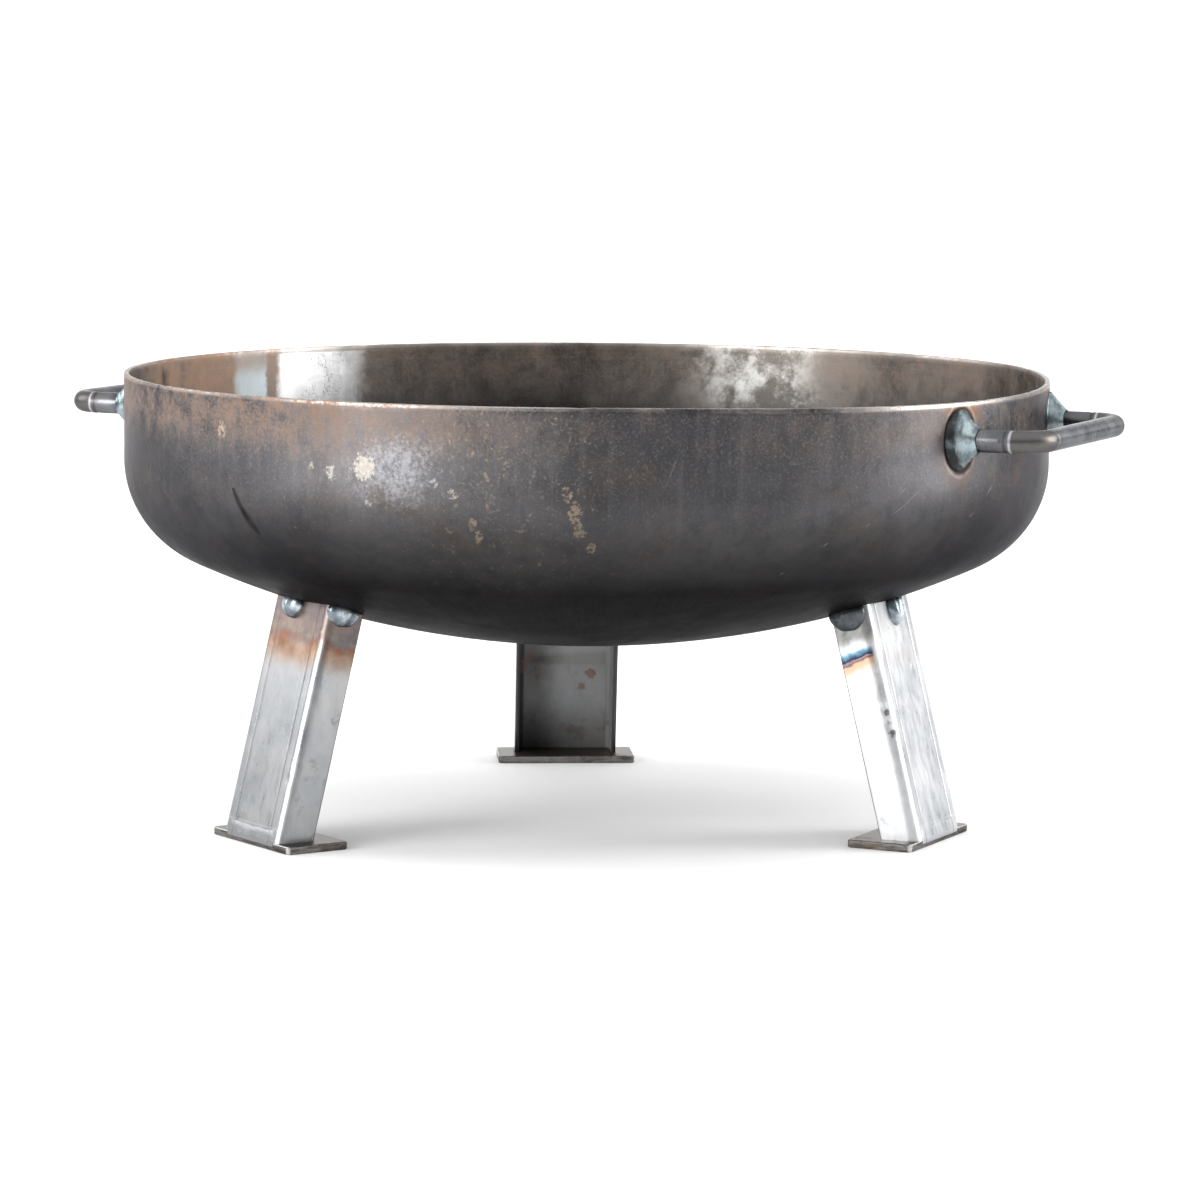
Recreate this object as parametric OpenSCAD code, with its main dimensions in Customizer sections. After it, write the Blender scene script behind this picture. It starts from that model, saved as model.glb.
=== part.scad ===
// Garden fire pit: a dished steel bowl on three splayed channel legs, with two bar handles and
// a loose grate of round bars that rests on the curve of the dish.
// Millimetres. Origin on the ground under the middle of the bowl, +Z up, handles along X.

/* [Bowl] */
// Outer diameter of the bowl
bowl_d = 600; // [480:5:760]
// Height of the rim above the ground
rim_height = 289; // [250:1:360]
// Height of the straight wall under the rim
wall_height = 55; // [48:1:80]
// Outer radius of the tight curve between wall and dish
knuckle_r = 70; // [50:1:90]
// Outer radius of the shallow dish
crown_r = 627; // [560:1:900]
// Thickness of the bowl's steel
bowl_wall = 3; // [2:0.5:5]

/* [Legs] */
// Distance from the middle of the bowl to the outer edge of each foot
foot_reach = 252; // [200:1:280]
// Lean of each leg from upright
splay = 14.4; // [5:0.1:20]
// Width of the channel's web, over the flanges
channel_width = 71; // [50:1:90]
// Depth of the channel, from the web's outer face to the flange edges
channel_depth = 25; // [18:1:40]
// Thickness of the channel's steel
channel_wall = 3; // [2:0.5:5]
// Outer radius of the channel's two folds
fold_r = 7; // [6:0.5:10]
// Turn of the leg set away from the line through the handles
leg_turn = -2; // [-30:0.5:30]

/* [Feet] */
// Thickness of the foot plates
plate_thickness = 5; // [3:0.5:8]
// How far a plate stands out at each side of its leg
plate_margin = 12; // [4:1:25]
// How far a plate reaches inwards past its leg
plate_heel = 18; // [5:1:40]
// Corner radius of the foot plates
plate_corner_r = 2; // [1:0.5:4]

/* [Handles] */
// Diameter of the handle bar
handle_bar_d = 14; // [10:1:18]
// Distance between the two arms of a handle, middle to middle
handle_span = 164; // [120:1:200]
// Distance from the bowl's outer face to the middle of the grip bar
handle_out = 38; // [32:1:60]
// Bend radius at the middle of the bar
handle_bend_r = 21; // [14:1:28]
// Distance from the rim down to the middle of the bar
handle_drop = 26.5; // [23:0.5:32]

/* [Welds] */
// Radius of a handle weld where it meets the bowl
handle_weld_r = 20; // [14:0.5:22]
// How far a handle weld climbs along the bar
handle_weld_length = 13; // [6:0.5:18]
// Steel left around the bar at the outer end of a handle weld
handle_weld_lip = 1; // [0.5:0.25:3]
// Radius of the beads between legs and bowl
leg_weld_r = 6.5; // [4:0.5:9]
// Length of the bead on a leg's web
web_weld_length = 18; // [10:1:36]
// Length of the beads on a leg's flanges
flange_weld_length = 16; // [10:1:18]
// Height of the ground weld on the outer face of a foot
foot_weld_height = 8; // [4:1:14]
// Thickness of the ground weld on the outer face of a foot
foot_weld_bulge = 0.8; // [0.4:0.1:2]

/* [Grate] */
// Distance between the bowl's straight wall and the grate's ring
grate_clearance = 77; // [60:1:110]
// Diameter of the bar in the ring and its two bearers
ring_bar_d = 10; // [8:1:14]
// Diameter of the fire bars
fire_bar_d = 10; // [8:1:14]
// Number of fire bars
fire_bar_count = 11; // [7:2:13]
// Distance between the two bearers, middle to middle
bearer_spacing = 160; // [100:1:220]
// Depth that the fire bars are sunk into the ring and bearers by welding
weld_sink = 0.5; // [0.3:0.1:1]
// Gap between the resting ring and the dish
seat_gap = 0.3; // [0.2:0.05:1]

/* [Hidden] */
// Number of sides of a small circle; large ones have a multiple of it
smooth = 96;
$fn = smooth;
bowl_r = bowl_d / 2;
// Centre of the knuckle's curve, in the bowl's section
knuckle_x = bowl_r - knuckle_r;
knuckle_z = rim_height - wall_height;
// Centre of the dish's curve lies on the axis
crown_z = knuckle_z + sqrt(pow(crown_r - knuckle_r, 2) - pow(knuckle_x, 2));
// Angle from straight down to where dish and knuckle meet
meet_angle = asin(knuckle_x / (crown_r - knuckle_r));
// Overshoot that carries cutting shapes past what they cut
over = 20;

handle_z = rim_height - handle_drop;
grip_x = bowl_r + handle_out;
// Where an arm's middle line meets the bowl's outer face
arm_x = sqrt(pow(bowl_r, 2) - pow(handle_span / 2, 2));

leg_angles = [leg_turn, leg_turn + 120, leg_turn + 240];
plate_width = channel_width + 2 * plate_margin;
plate_depth = channel_depth / cos(splay) + plate_heel;

ring_r = bowl_r - bowl_wall - grate_clearance - ring_bar_d / 2;
ring_z = seat_height(ring_r, ring_bar_d / 2 + seat_gap);
fire_bar_z = ring_z + (ring_bar_d + fire_bar_d) / 2 - weld_sink;
fire_bar_pitch = 2 * ring_r / (fire_bar_count + 1);

leg_names = ["right", "rear", "left"];
sides = ["right", "left"];
ends = ["front", "rear"];

// Height of the middle of a bar that rests inside the bowl at radius r, offset from the steel
function seat_height(r, offset) =
    let (
        crown_reach = crown_r - bowl_wall - offset,
        knuckle_reach = knuckle_r - bowl_wall - offset
    )
    r <= crown_reach * sin(meet_angle)
        ? crown_z - sqrt(pow(crown_reach, 2) - pow(r, 2))
        : knuckle_z - sqrt(pow(knuckle_reach, 2) - pow(r - knuckle_x, 2));

// Point of a leg at a given depth behind the web's outer face and side distance, where the
// leg's direction meets the underside of the dish: [distance from the axis, height]
function leg_top(depth, side) =
    let (
        x = foot_reach - depth * cos(splay),
        z = plate_thickness - depth * sin(splay) - crown_z,
        b = -x * sin(splay) + z * cos(splay),
        c = pow(x, 2) + pow(z, 2) + pow(side, 2) - pow(crown_r, 2),
        length = -b - sqrt(pow(b, 2) - c)
    )
    [x - length * sin(splay), z + crown_z + length * cos(splay)];

// Solid inside the bowl's outer face moved inwards by inset, up to the given height
module bowl_block(inset, top) {
    r = bowl_r - inset;
    knuckle = knuckle_r - inset;
    crown = crown_r - inset;
    meet = [crown * sin(meet_angle), crown_z - crown * cos(meet_angle)];
    rotate_extrude($fn = 2 * smooth)
    polygon([
        [0, top],
        [r, top],
        [r, knuckle_z],
        meet,
        [0, meet.y]
    ]);
    rotate_extrude($fn = 2 * smooth)
    intersection() {
        translate([knuckle_x, knuckle_z]) circle(knuckle, $fn = 2 * smooth);
        polygon([
            [knuckle_x, knuckle_z],
            [r + over, knuckle_z],
            [r + over, meet.y - over],
            meet + over * [sin(meet_angle), -cos(meet_angle)]
        ]);
    }
    rotate_extrude($fn = 2 * smooth)
    intersection() {
        translate([0, crown_z]) circle(crown, $fn = 4 * smooth);
        polygon([
            [0, knuckle_z],
            meet,
            [meet.x, crown_z - crown - over],
            [0, crown_z - crown - over]
        ]);
    }
}

module bowl() {
    color("#4d4a47")
    difference() {
        bowl_block(0, rim_height);
        bowl_block(bowl_wall, rim_height + over);
    }
}

// Everything inside it stands at a handle's side of the bowl: 0 is right, 1 is left
module at_handle(side) {
    rotate([0, 0, 180 * side]) translate([0, 0, handle_z]) children();
}

module handle(side) {
    straight = grip_x - handle_bend_r;
    half = handle_span / 2;
    color("#77797a")
    at_handle(side) {
        for (end = [-1, 1]) {
            difference() {
                translate([arm_x - over, end * half, 0])
                    rotate([0, 90, 0])
                    cylinder(d = handle_bar_d, h = straight - arm_x + over);
                cylinder(r = bowl_r, h = 2 * handle_bar_d, center = true, $fn = 8 * smooth);
            }
            translate([straight, end * (half - handle_bend_r), 0])
                rotate([0, 0, end > 0 ? 0 : -90])
                rotate_extrude(angle = 90)
                translate([handle_bend_r, 0]) circle(d = handle_bar_d);
        }
        translate([grip_x, handle_bend_r - half, 0])
            rotate([-90, 0, 0])
            cylinder(d = handle_bar_d, h = handle_span - 2 * handle_bend_r);
    }
}

// A cone of weld around the bar, where end is -1 for the arm at -Y and 1 for the arm at +Y
module handle_weld(side, end) {
    slope = (handle_weld_r - handle_bar_d / 2 - handle_weld_lip) / handle_weld_length;
    color("#8f98a3")
    at_handle(side)
    difference() {
        translate([arm_x - over, end * handle_span / 2, 0])
            rotate([0, 90, 0])
            cylinder(
                r1 = handle_weld_r + over * slope,
                r2 = handle_bar_d / 2 + handle_weld_lip,
                h = over + handle_weld_length
            );
        cylinder(r = bowl_r, h = 4 * handle_weld_r, center = true, $fn = 8 * smooth);
        translate([arm_x - 2 * over, end * handle_span / 2, 0])
            rotate([0, 90, 0])
            cylinder(d = handle_bar_d, h = 4 * over);
    }
}

// Section of a leg: web on the right at x = 0, flanges reaching back along -x
module channel_section() {
    flat = channel_width / 2 - fold_r;
    translate([-channel_wall, -flat]) square([channel_wall, 2 * flat]);
    for (side = [-1, 1]) {
        translate([-channel_depth, side > 0 ? flat + fold_r - channel_wall : -flat - fold_r])
            square([channel_depth - fold_r, channel_wall]);
        translate([-fold_r, side * flat])
        intersection() {
            difference() {
                circle(fold_r);
                circle(fold_r - channel_wall);
            }
            translate([0, side > 0 ? 0 : -fold_r]) square(fold_r);
        }
    }
}

// Outline of a leg's section, filled in
module channel_outline() {
    flat = channel_width / 2 - fold_r;
    translate([-channel_depth, -flat - fold_r])
        square([channel_depth - fold_r, channel_width]);
    translate([-fold_r, -flat]) square([fold_r, 2 * flat]);
    for (side = [-1, 1])
        translate([-fold_r, side * flat])
        intersection() {
            circle(fold_r);
            translate([0, side > 0 ? 0 : -fold_r]) square(fold_r);
        }
}

// Carries a section up along a leg, from below the foot to inside the bowl
module leg_sweep() {
    translate([foot_reach, 0, plate_thickness])
        rotate([0, -splay, 0])
        translate([0, 0, -over])
        linear_extrude(height = rim_height)
        children();
}

module leg(i) {
    color("#c4c7cb")
    rotate([0, 0, leg_angles[i]])
    difference() {
        leg_sweep() channel_section();
        bowl_block(0, rim_height);
        translate([0, -channel_width, plate_thickness - 4 * over])
            cube([bowl_d, 2 * channel_width, 4 * over]);
    }
}

// Three beads: one across the web and one along each flange
module leg_welds(i) {
    web = leg_top(0, 0);
    flange = leg_top(channel_depth / 2, channel_width / 2);
    lean = asin(flange.x / crown_r);
    color("#98a2ad")
    rotate([0, 0, leg_angles[i]])
    difference() {
        union() {
            translate([web.x, 0, web.y])
                rotate([90, 0, 0])
                cylinder(r = leg_weld_r, h = web_weld_length, center = true);
            for (side = [-1, 1])
                translate([flange.x, side * channel_width / 2, flange.y])
                rotate([0, 90 - lean, 0])
                cylinder(r = leg_weld_r, h = flange_weld_length, center = true);
        }
        leg_sweep() channel_outline();
        bowl_block(0, rim_height);
    }
}

module foot(i) {
    inner = foot_reach - plate_depth;
    r = plate_corner_r;
    color("#5f5954")
    rotate([0, 0, leg_angles[i]])
    linear_extrude(height = plate_thickness)
    union() {
        translate([inner + r, -plate_width / 2]) square([plate_depth - 2 * r, plate_width]);
        translate([inner, -plate_width / 2 + r]) square([plate_depth, plate_width - 2 * r]);
        for (x = [inner + r, foot_reach - r])
            for (side = [-1, 1])
                translate([x, side * (plate_width / 2 - r)]) circle(r);
    }
}

// A weld ground flat over the joint between the web's outer face and the edge of its foot
module foot_weld(i) {
    length = channel_width - 2 * fold_r;
    color("#aab0b6")
    rotate([0, 0, leg_angles[i]])
    translate([0, length / 2, 0])
    rotate([90, 0, 0])
    linear_extrude(height = length)
    polygon([
        [foot_reach, plate_thickness / 2],
        [foot_reach + foot_weld_bulge, plate_thickness * 3 / 4],
        [foot_reach - foot_weld_height * tan(splay), plate_thickness + foot_weld_height],
        [foot_reach, plate_thickness]
    ]);
}

module grate_ring() {
    color("#3d3835")
    translate([0, 0, ring_z])
    rotate_extrude()
    translate([ring_r, 0]) circle(d = ring_bar_d);
}

// A bar under the fire bars, its ends shaped to the inside of the ring: side is -1 or 1
module grate_bearer(side) {
    x = bearer_spacing / 2;
    half = sqrt(pow(ring_r, 2) - pow(x, 2));
    color("#413b37")
    difference() {
        translate([side * x, half, ring_z])
            rotate([90, 0, 0])
            cylinder(d = ring_bar_d, h = 2 * half);
        grate_ring();
    }
}

// A bar across the top of the ring, cut to end inside the ring's outer edge
module grate_bar(i) {
    y = (i - (fire_bar_count + 1) / 2) * fire_bar_pitch;
    half = sqrt(pow(ring_r + ring_bar_d / 2, 2) - pow(abs(y) + fire_bar_d / 2, 2));
    color("#453e39")
    translate([-half, y, fire_bar_z])
        rotate([0, 90, 0])
        cylinder(d = fire_bar_d, h = 2 * half);
}

bowl();
for (s = [0, 1]) {
    handle(s);
    for (e = [0, 1])
        handle_weld(s, (s == e) ? -1 : 1);
}
for (i = [0:2]) {
    leg(i);
    leg_welds(i);
    foot(i);
    foot_weld(i);
}
grate_ring();
for (s = [0, 1])
    grate_bearer(1 - 2 * s);
for (i = [1:fire_bar_count])
    grate_bar(i);
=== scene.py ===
import math

import bmesh
import bpy
from mathutils import Matrix, Vector, noise


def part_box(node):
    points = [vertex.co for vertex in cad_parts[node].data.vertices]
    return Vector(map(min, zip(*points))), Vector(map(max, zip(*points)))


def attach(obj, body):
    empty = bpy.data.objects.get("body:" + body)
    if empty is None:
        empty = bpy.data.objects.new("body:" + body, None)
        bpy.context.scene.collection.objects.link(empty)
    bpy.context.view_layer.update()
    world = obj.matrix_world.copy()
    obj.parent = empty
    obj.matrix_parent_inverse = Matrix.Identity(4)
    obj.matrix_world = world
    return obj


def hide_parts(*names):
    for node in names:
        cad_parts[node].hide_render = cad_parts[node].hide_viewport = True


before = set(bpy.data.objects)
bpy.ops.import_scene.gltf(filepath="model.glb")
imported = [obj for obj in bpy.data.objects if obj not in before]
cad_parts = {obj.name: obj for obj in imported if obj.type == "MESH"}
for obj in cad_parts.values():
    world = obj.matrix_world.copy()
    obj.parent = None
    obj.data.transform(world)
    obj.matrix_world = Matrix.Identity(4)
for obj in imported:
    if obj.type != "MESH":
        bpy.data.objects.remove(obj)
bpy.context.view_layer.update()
bowlBody, grateBody = "firebowl", "grate"
print("frame loaded:", len(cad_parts), "nodes")


# the camera stands a little above the rim and looks down over it; angles are in degrees
view = {"heading": 24.5, "distance": 3.141, "height": 0.512, "lens": 145.2, "sensor": 36.0,
        "down": 6.76, "aside": 0.17, "roll": 0.39}


def makeCamera():
    data = bpy.data.cameras.new("camera")
    data.lens, data.sensor_width = view["lens"], view["sensor"]
    data.clip_start, data.clip_end = 0.1, 200.0
    camera = bpy.data.objects.new("camera", data)
    bpy.context.scene.collection.objects.link(camera)
    heading = math.radians(view["heading"])
    place = Matrix.Rotation(heading, 4, "Z") @ Matrix.Translation((0, -view["distance"], view["height"]))
    turn = Matrix.Rotation(-math.radians(view["aside"]), 4, "Z")
    tilt = Matrix.Rotation(math.radians(90 - view["down"]), 4, "X")
    camera.matrix_world = place @ turn @ tilt @ Matrix.Rotation(math.radians(view["roll"]), 4, "Z")
    bpy.context.scene.camera = camera


makeCamera()
print("camera placed")


# numbers and curves
def smoothStep(low, high, value):
    t = min(1.0, max(0.0, (value - low) / (high - low)))
    return t * t * (3 - 2 * t)


def wobble(x, y, z, seed=0.0):
    return noise.noise(Vector((x + seed, y - 2.3 * seed, z + 0.7 * seed)))


def arcPoints(centre, radius, start, end, count):
    angles = [math.radians(start + (end - start) * i / count) for i in range(count + 1)]
    return [(centre[0] + radius * math.cos(a), centre[1] + radius * math.sin(a)) for a in angles]


def spaced(low, high, count):
    return [low + (high - low) * i / count for i in range(count + 1)]


def tint(colour, by):
    return tuple(by * v for v in colour)


# meshes, as a list of points and a list of faces
def loft(rings, closed=True, joined=False, capped=False):
    count = len(rings[0])
    points = [point for ring in rings for point in ring]
    faces = []
    for i in range(len(rings) if joined else len(rings) - 1):
        low, high = i * count, (i + 1) % len(rings) * count
        for j in range(count if closed else count - 1):
            k = (j + 1) % count
            faces.append((low + j, low + k, high + k, high + j))
    if capped:
        faces.append(tuple(range(count)))
        faces.append(tuple(range(len(points) - count, len(points))))
    return points, faces


def gather(parts):
    points, faces = [], []
    for partPoints, partFaces in parts:
        first = len(points)
        points += partPoints
        faces += [tuple(first + i for i in face) for face in partFaces]
    return points, faces


def makePiece(name, shape, material, body, replaced=(), turn=0.0, sharp=35):
    mesh = bpy.data.meshes.new(name)
    mesh.from_pydata([tuple(p) for p in shape[0]], [], shape[1])
    work = bmesh.new()
    work.from_mesh(mesh)
    bmesh.ops.remove_doubles(work, verts=work.verts, dist=1e-6)
    bmesh.ops.dissolve_degenerate(work, edges=work.edges, dist=1e-7)
    bmesh.ops.recalc_face_normals(work, faces=work.faces)
    work.to_mesh(mesh)
    work.free()
    mesh.shade_smooth()
    mesh.set_sharp_from_angle(angle=math.radians(sharp))
    mesh.materials.append(material)
    piece = bpy.data.objects.new(name, mesh)
    piece.rotation_euler.z = math.radians(turn)
    bpy.context.scene.collection.objects.link(piece)
    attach(piece, body)
    if replaced:
        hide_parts(*replaced)
    return piece


# node maths as plain expressions
class Wire:
    def __init__(self, paint, socket):
        self.paint, self.socket = paint, socket

    def __add__(self, other):
        return self.paint.maths("ADD", self, other)

    __radd__ = __add__

    def __mul__(self, other):
        return self.paint.maths("MULTIPLY", self, other)

    __rmul__ = __mul__

    def __sub__(self, other):
        return self.paint.maths("SUBTRACT", self, other)

    def __rsub__(self, other):
        return self.paint.maths("SUBTRACT", other, self)

    def __truediv__(self, other):
        return self.paint.maths("DIVIDE", self, other)

    def __rtruediv__(self, other):
        return self.paint.maths("DIVIDE", other, self)


class Paint:
    def __init__(self, name, home=None):
        self.home = home or bpy.data.materials.new(name)
        self.home.use_nodes = True
        self.tree = self.home.node_tree
        self.tree.nodes.clear()

    def add(self, kind, settings=None, inputs=None, out=0):
        node = self.tree.nodes.new("ShaderNode" + kind)
        for key, value in (settings or {}).items():
            setattr(node, key, value)
        for key, value in (inputs or {}).items():
            if isinstance(value, Wire):
                self.tree.links.new(value.socket, node.inputs[key])
            elif isinstance(value, tuple) and node.inputs[key].type == "RGBA":
                node.inputs[key].default_value = (*value, 1.0)
            else:
                node.inputs[key].default_value = value
        return Wire(self, node.outputs[out]) if len(node.outputs) else None

    def maths(self, operation, a, b=0.0):
        return self.add("Math", {"operation": operation}, {0: a, 1: b})

    def place(self):
        return self.add("TexCoord", out="Object")

    def parts(self, vector):
        node = self.add("SeparateXYZ", inputs={0: vector}).socket.node
        return [Wire(self, node.outputs[i]) for i in range(3)]

    def vector(self, x, y, z):
        return self.add("CombineXYZ", inputs={0: x, 1: y, 2: z})

    def stretch(self, vector, by):
        return self.add("VectorMath", {"operation": "MULTIPLY"}, {0: vector, 1: by})

    def shift(self, vector, by):
        return self.add("VectorMath", {"operation": "ADD"}, {0: vector, 1: by})

    def dot(self, vector, direction):
        return self.add("VectorMath", {"operation": "DOT_PRODUCT"}, {0: vector, 1: direction}, "Value")

    def apart(self, vector, point):
        return self.add("VectorMath", {"operation": "DISTANCE"}, {0: vector, 1: point}, "Value")

    def cloud(self, vector, scale, detail=4.0, rough=0.55, warp=0.0):
        return self.add("TexNoise", inputs={"Vector": vector, "Scale": scale, "Detail": detail,
                                            "Roughness": rough, "Distortion": warp})

    def cells(self, vector, scale):
        return self.add("TexVoronoi", inputs={"Vector": vector, "Scale": scale}, out="Distance")

    def rise(self, value, low, high):
        return self.add("MapRange", {"interpolation_type": "SMOOTHSTEP"},
                        {"Value": value, "From Min": low, "From Max": high})

    def band(self, value, middle, half):
        return 1 - self.rise(self.maths("ABSOLUTE", value - middle), 0.0, half)

    def around(self, place, centre, far, close):  # 0 beyond far, 1 within close
        return self.rise(self.apart(place, centre) * -1.0, -far, -close)

    def onTangent(self, place, azimuth):
        a = math.radians(azimuth)
        return self.dot(place, (-math.sin(a), math.cos(a), 0.0))

    def blend(self, amount, a, b, way="MIX"):
        return self.add("Mix", {"data_type": "RGBA", "blend_type": way}, {0: amount, 6: a, 7: b}, 2)

    def bump(self, height, strength, distance, under=None):
        inputs = {"Height": height, "Strength": strength, "Distance": distance}
        if under:
            inputs["Normal"] = under
        return self.add("Bump", inputs=inputs)

    def ragged(self, place, centre, size, grain):
        reach = self.apart(place, centre) / size
        return self.rise(grain - reach * 0.5 + 0.25, 0.47, 0.56)

    def scratch(self, place, start, end, width):
        along = Vector(end) - Vector(start)
        offset = self.shift(place, tuple(-Vector(start)))
        run = self.dot(offset, tuple(along / along.length_squared))
        held = self.maths("MAXIMUM", self.maths("MINIMUM", run, 1.0), 0.0)
        nearest = self.add("VectorMath", {"operation": "SCALE"}, {0: tuple(along), "Scale": held})
        taper = (held * (1 - held)) * 4
        edge = width * 0.35 + taper * (width * 0.65)
        return 1 - self.rise(self.apart(offset, nearest), width * 0.25, edge)

    def finish(self, colour, rough, metal, normal, **fixed):
        inputs = {"Base Color": colour, "Roughness": rough, "Metallic": metal, "Normal": normal}
        inputs.update({key.replace("_", " "): value for key, value in fixed.items()})
        shader = self.add("BsdfPrincipled", inputs=inputs)
        self.add("OutputMaterial", inputs={"Surface": shader})
        return self.home


# the bowl is one pressing with a plain rim; sizes are in metres
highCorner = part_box("bowl")[1]
bowl = {"radius": highCorner.x, "rim": highCorner.z, "wall": 0.003, "straight": 0.055, "knuckle": 0.070,
        "crown": 0.627, "edge": 0.0007, "segments": 288, "sway": 0.0005, "rimSway": 0.0004,
        "nick": 0.0003, "sag": 0.0036, "sagAt": -10.0, "sagWide": 56.0}
kneeR = bowl["radius"] - bowl["knuckle"]
kneeZ = bowl["rim"] - bowl["straight"]
crownZ = kneeZ + math.sqrt((bowl["crown"] - bowl["knuckle"]) ** 2 - kneeR ** 2)
meetAngle = math.degrees(math.asin(kneeR / (bowl["crown"] - bowl["knuckle"])))

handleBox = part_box("handle_right")
handle = {"bar": handleBox[1].z - handleBox[0].z, "height": (handleBox[1].z + handleBox[0].z) / 2,
          "bend": 0.021, "sides": 40, "pinch": 0.0003, "flatten": 0.035}
handle["half"] = handleBox[1].y - handle["bar"] / 2
handle["grip"] = handleBox[1].x - handle["bar"] / 2
handle["arm"] = math.sqrt(bowl["radius"] ** 2 - handle["half"] ** 2)

leg = {"reach": 0.252, "splay": 14.4, "width": 0.071, "depth": 0.025, "wall": 0.003, "fold": 0.007,
       "angles": {"right": -2.0, "rear": 118.0, "left": 238.0}, "rings": 72,
       "line": 0.0225, "lineWidth": 0.0011, "lineDepth": 0.00025, "step": 0.00012,
       "nicks": ((-0.0345, 0.465, 0.0062), (-0.0345, 0.500, 0.0044), (-0.0343, 0.545, 0.0040))}
leg["plate"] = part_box("foot_right")[1].z


def bowlProfile():
    bowlLine = []
    for inset, order in ((0.0, 1), (bowl["wall"], -1)):
        crown = arcPoints((0, crownZ), bowl["crown"] - inset, -90, meetAngle - 90, 34)
        knuckle = arcPoints((kneeR, kneeZ), bowl["knuckle"] - inset, meetAngle - 90, 0, 22)[1:]
        edge, r = bowl["edge"], bowl["radius"] - inset
        straight = [(r, z) for z in spaced(kneeZ, bowl["rim"] - edge, 12)][1:]
        cut = arcPoints((r - edge, bowl["rim"] - edge), edge, 0, 90, 3)[1:]
        if inset:
            cut = [(2 * r - x, z) for x, z in cut]
        bowlLine += (crown + knuckle + straight + cut)[::order]
    bowlLine[0] = (0.0, bowlLine[0][1])
    bowlLine[-1] = (0.0, bowlLine[-1][1])
    return bowlLine


def bowlShape():
    rings = []
    for i in range(bowl["segments"]):
        angle = 2 * math.pi * i / bowl["segments"]
        c, s = math.cos(angle), math.sin(angle)
        ring = []
        for r, z in bowlProfile():
            high = smoothStep(0.20, 0.27, z)
            dent = bowl["sway"] * high * (0.5 + 0.5 * wobble(2.4 * c, 2.4 * s, 9 * z))
            drop = bowl["rimSway"] * high * (0.5 + 0.5 * wobble(1.7 * c, 1.7 * s, 0, 8))
            nick = bowl["nick"] * smoothStep(0.2, 0.6, wobble(40 * c, 40 * s, 0, 3))
            nick *= smoothStep(bowl["rim"] - 0.002, bowl["rim"], z)
            turn = (math.degrees(angle) - bowl["sagAt"] + 180) % 360 - 180
            sag = bowl["sag"] * math.cos(math.radians(90 * min(1, abs(turn) / bowl["sagWide"]))) ** 2
            drop += sag * smoothStep(bowl["rim"] - 0.02, bowl["rim"] + 0.001, z)
            ring.append(((r - dent) * c, (r - dent) * s, z - drop - nick))
        rings.append(ring)
    return loft(rings, closed=False, joined=True)


# under is a painted shade level for the bottom of the bowl
bowlSteel = {"dark": (0.062, 0.061, 0.066), "mid": (0.118, 0.115, 0.120), "warm": (0.105, 0.080, 0.064),
             "rust": (0.145, 0.092, 0.066), "rustPale": (0.235, 0.160, 0.118), "weldFootDark": (0.020, 0.014, 0.011),
             "wall": (0.160, 0.146, 0.130), "wallPale": (0.262, 0.232, 0.208), "frostAndReflection": (0.50, 0.53, 0.58),
             "sand": (0.37, 0.285, 0.195), "chalk": (0.34, 0.30, 0.25), "chalkPale": (0.66, 0.62, 0.54),
             "bright": (0.62, 0.58, 0.54), "under": (0.115, 0.108, 0.104), "silver": (0.95, 0.96, 0.97)}

# spots are azimuth in degrees, height and size; scratches are start and end, each as azimuth and height,
# then width and strength; the azimuth given on its own is the side of the low bowl that gets extra painted
# shade
bowlWear = {
    "sandSpots": ((-78.5, 0.218, 0.0052), (-77.9, 0.211, 0.0048), (-66.8, 0.226, 0.0075),
                  (-66.3, 0.216, 0.0062), (-67.6, 0.238, 0.0058), (-64.9, 0.205, 0.0045),
                  (-113.4, 0.266, 0.0066)),
    "sandStretch": (1.0, 1.0, 0.55),
    "chalkSpots": ((-96.2, 0.247, 0.0058), (-96.0, 0.243, 0.0050), (-99.0, 0.249, 0.0042),
                   (-91.2, 0.229, 0.0042), (-83.0, 0.243, 0.0052), (-81.0, 0.236, 0.0056)),
    "chalkBlot": (-91.8, 0.250, 0.0145),
    "frontShadeAt": -65.5,
    "darkScratches": ((-111.3, 0.231, -109.4, 0.213, 0.0032, 0.75),
                      (-110.0, 0.219, -108.2, 0.205, 0.0046, 0.70)),
    "lightScratches": ((-25.5, 0.236, -31.0, 0.214, 0.0009, 0.15), (-23.5, 0.233, -27.0, 0.221, 0.0006, 0.18),
                       (-9.0, 0.231, -13.0, 0.214, 0.0007, 0.35), (-36.0, 0.205, -41.0, 0.186, 0.0008, 0.30),
                       (-55.0, 0.262, -58.0, 0.224, 0.0006, 0.14), (-97.0, 0.284, -97.4, 0.262, 0.0005, 0.12),
                       (62.0, 0.268, 70.0, 0.231, 0.0008, 0.40), (141.0, 0.250, 137.0, 0.205, 0.0009, 0.35),
                       (203.0, 0.262, 209.0, 0.238, 0.0008, 0.40))}


def onBowl(azimuth, height, inset=0.0):
    a = math.radians(azimuth)
    drop = max(0.0, kneeZ - height)
    radius = kneeR + math.sqrt(bowl["knuckle"] ** 2 - drop ** 2) - inset
    return (radius * math.cos(a), radius * math.sin(a), height)


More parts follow.
